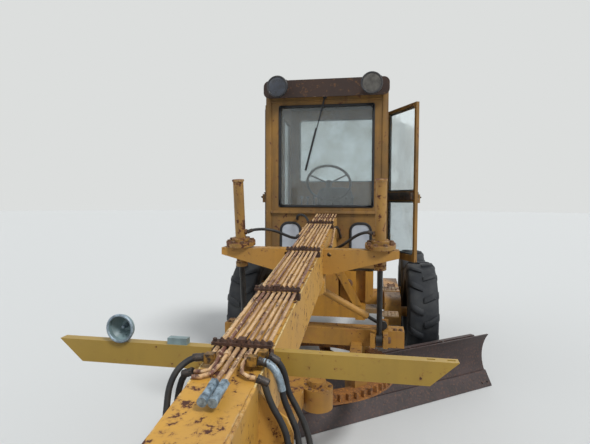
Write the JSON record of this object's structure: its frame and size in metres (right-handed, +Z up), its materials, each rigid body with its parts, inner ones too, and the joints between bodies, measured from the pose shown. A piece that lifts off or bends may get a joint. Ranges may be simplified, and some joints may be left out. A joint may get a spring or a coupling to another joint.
{
  "type": "motor grader",
  "caption": "Motor grader with a rigid frame, six lugged tyres, a side-shifted blade on a toothed circle, a cab with two doors and oil pipes along its beam.",
  "frame": {"origin": "on the ground, at the middle of the whole footprint with the blade shifted out", "axes": "+Z up, the front points along -Y, +X is the side of the open door"},
  "size_m": [3.0662, 7.82, 3.301],
  "materials": {
    "yellow_paint": "faded ochre enamel with rust",
    "cab_paint": "olive brown enamel, matt",
    "visor_paint": "dark brown enamel",
    "tyre": "dry rubber",
    "rim_paint": "chalky ochre enamel",
    "bare_steel": "dull bright steel",
    "rust_steel": "rusted steel",
    "blade_steel": "dark rusted steel",
    "pipe_steel": "rusted pipe",
    "hose": "matt rubber",
    "glass": "dusty clear",
    "lamp": "dark housing",
    "lamp_bucket": "grey green",
    "seat_cover": "black vinyl",
    "dark_plastic": "black plastic",
    "engine_iron": "dull iron",
    "exhaust_steel": "rusted sheet"
  },
  "bodies": {
    "root": {"main_beam": "yellow_paint", "rear_frame": "yellow_paint", "rear_axle": "yellow_paint", "front_axle": "yellow_paint", "tandem_cases": "yellow_paint", "lamp_bar": "yellow_paint", "bar_lamp": "lamp_bucket", "beam_pipes": "pipe_steel", "pipe_unions": "rust_steel", "pipe_clamps": "rust_steel", "hoses": "hose", "lift_crossbeam": "yellow_paint", "lift_barrels": "yellow_paint", "cab_front": "cab_paint", "cab_sides": "cab_paint", "cab_rear": "cab_paint", "cab_roof": "cab_paint", "cab_visor": "visor_paint", "cab_floor": "dark_plastic", "cab_glass": "glass", "roof_lamps": "lamp", "seat": "seat_cover", "console": "dark_plastic", "front_tank": "cab_paint", "steps": "cab_paint", "engine_block": "engine_iron", "hood": "yellow_paint", "grille": "dark_plastic", "exhaust": "exhaust_steel"},
    "knuckle_left": {"knuckle_left": "rust_steel"},
    "knuckle_right": {"knuckle_right": "rust_steel"},
    "tie_rod": {"tie_rod": "bare_steel"},
    "wheel_front_left": {"tyre_front_left": "tyre", "rim_front_left": "rim_paint"},
    "wheel_front_right": {"tyre_front_right": "tyre", "rim_front_right": "rim_paint"},
    "wheel_mid_left": {"tyre_mid_left": "tyre", "rim_mid_left": "rim_paint"},
    "wheel_mid_right": {"tyre_mid_right": "tyre", "rim_mid_right": "rim_paint"},
    "wheel_rear_left": {"tyre_rear_left": "tyre", "rim_rear_left": "rim_paint"},
    "wheel_rear_right": {"tyre_rear_right": "tyre", "rim_rear_right": "rim_paint"},
    "drawbar": {"drawbar": "yellow_paint"},
    "circle": {"blade_circle": "rust_steel", "side_barrel": "rust_steel"},
    "moldboard": {"moldboard": "blade_steel", "cutting_edge": "blade_steel", "side_rod": "bare_steel"},
    "lift_rod_left": {"lift_rod_left": "bare_steel"},
    "lift_rod_right": {"lift_rod_right": "bare_steel"},
    "shift_barrel": {"shift_barrel": "yellow_paint"},
    "shift_rod": {"shift_rod": "bare_steel"},
    "door_left": {"door_left": "cab_paint", "door_glass_left": "glass"},
    "door_right": {"door_right": "cab_paint", "door_glass_right": "glass"},
    "steering_wheel": {"steering_wheel": "dark_plastic"}
  },
  "joints": [
    {"name": "steer_left", "type": "hinge", "parent": "root", "child": "knuckle_left", "pos_m": [0.53821, -3.27, 0.64], "axis": [0, 0, 1], "range_deg": [-34, 34]},
    {"name": "steer_right", "type": "hinge", "parent": "root", "child": "knuckle_right", "pos_m": [-1.06179, -3.27, 0.64], "axis": [0, 0, 1], "range_deg": [-34, 34]},
    {"name": "tie_rod_turn", "type": "hinge", "parent": "knuckle_left", "child": "tie_rod", "pos_m": [0.53821, -3.07, 0.55], "axis": [0, 0, 1], "range_deg": [-34, 34]},
    {"name": "roll_front_left", "type": "hinge", "parent": "knuckle_left", "child": "wheel_front_left", "pos_m": [0.81421, -3.27, 0.64], "axis": [1, 0, 0], "continuous": true},
    {"name": "roll_front_right", "type": "hinge", "parent": "knuckle_right", "child": "wheel_front_right", "pos_m": [-1.33779, -3.27, 0.64], "axis": [1, 0, 0], "continuous": true},
    {"name": "roll_mid_left", "type": "hinge", "parent": "root", "child": "wheel_mid_left", "pos_m": [0.81421, 1.625, 0.64], "axis": [1, 0, 0], "continuous": true},
    {"name": "roll_mid_right", "type": "hinge", "parent": "root", "child": "wheel_mid_right", "pos_m": [-1.33779, 1.625, 0.64], "axis": [1, 0, 0], "continuous": true},
    {"name": "roll_rear_left", "type": "hinge", "parent": "root", "child": "wheel_rear_left", "pos_m": [0.81421, 2.975, 0.64], "axis": [1, 0, 0], "continuous": true},
    {"name": "roll_rear_right", "type": "hinge", "parent": "root", "child": "wheel_rear_right", "pos_m": [-1.33779, 2.975, 0.64], "axis": [1, 0, 0], "continuous": true},
    {"name": "drawbar_lift", "type": "hinge", "parent": "root", "child": "drawbar", "pos_m": [-0.26179, -3.02, 0.7], "axis": [1, 0, 0], "range_deg": [0, 8]},
    {"name": "lift_rod_left_slide", "type": "slide", "parent": "root", "child": "lift_rod_left", "axis": [0, -0.1478, 0.989], "range_m": [0, 0.3561]},
    {"name": "lift_rod_right_slide", "type": "slide", "parent": "root", "child": "lift_rod_right", "axis": [0, -0.1478, 0.989], "range_m": [0, 0.3561]},
    {"name": "swing_barrel_turn", "type": "hinge", "parent": "root", "child": "shift_barrel", "pos_m": [-0.19579, -0.53, 1.322], "axis": [0.13, -0.9748, -0.1816], "range_deg": [0, 35.27]},
    {"name": "swing_rod_slide", "type": "slide", "parent": "shift_barrel", "child": "shift_rod", "axis": [-0.8387, -0.2058, 0.5042], "range_m": [0, 0.0976]},
    {"name": "circle_turn", "type": "hinge", "parent": "drawbar", "child": "circle", "pos_m": [-0.26179, -0.51, 0.636], "axis": [0, 0, 1], "range_deg": [-76, 0]},
    {"name": "blade_shift", "type": "slide", "parent": "circle", "child": "moldboard", "axis": [0.788, 0.6157, 0], "range_m": [-1.1, 0]},
    {"name": "door_left_swing", "type": "hinge", "parent": "root", "child": "door_left", "pos_m": [0.41981, 1.3, 2.2], "axis": [0, 0, 1], "range_deg": [-27, 83]},
    {"name": "door_right_swing", "type": "hinge", "parent": "root", "child": "door_right", "pos_m": [-0.94339, 1.3, 2.2], "axis": [0, 0, -1], "range_deg": [0, 110]},
    {"name": "steering_wheel_turn", "type": "hinge", "parent": "root", "child": "steering_wheel", "pos_m": [-0.26179, 0.94, 2.23], "axis": [0, 0.766, 0.6428], "range_deg": [-476, 476]}
  ],
  "couplings": [
    {"joint": "steer_right", "follows": "steer_left", "ratio": 1},
    {"joint": "tie_rod_turn", "follows": "steer_left", "ratio": -1},
    {"joint": "steering_wheel_turn", "follows": "steer_left", "ratio": 14},
    {"joint": "lift_rod_left_slide", "follows": "drawbar_lift", "m_per_rad": 2.5492},
    {"joint": "lift_rod_right_slide", "follows": "drawbar_lift", "m_per_rad": 2.5492},
    {"joint": "swing_barrel_turn", "follows": "drawbar_lift", "ratio": 4.4076},
    {"joint": "swing_rod_slide", "follows": "drawbar_lift", "m_per_rad": 0.69725}
  ]
}
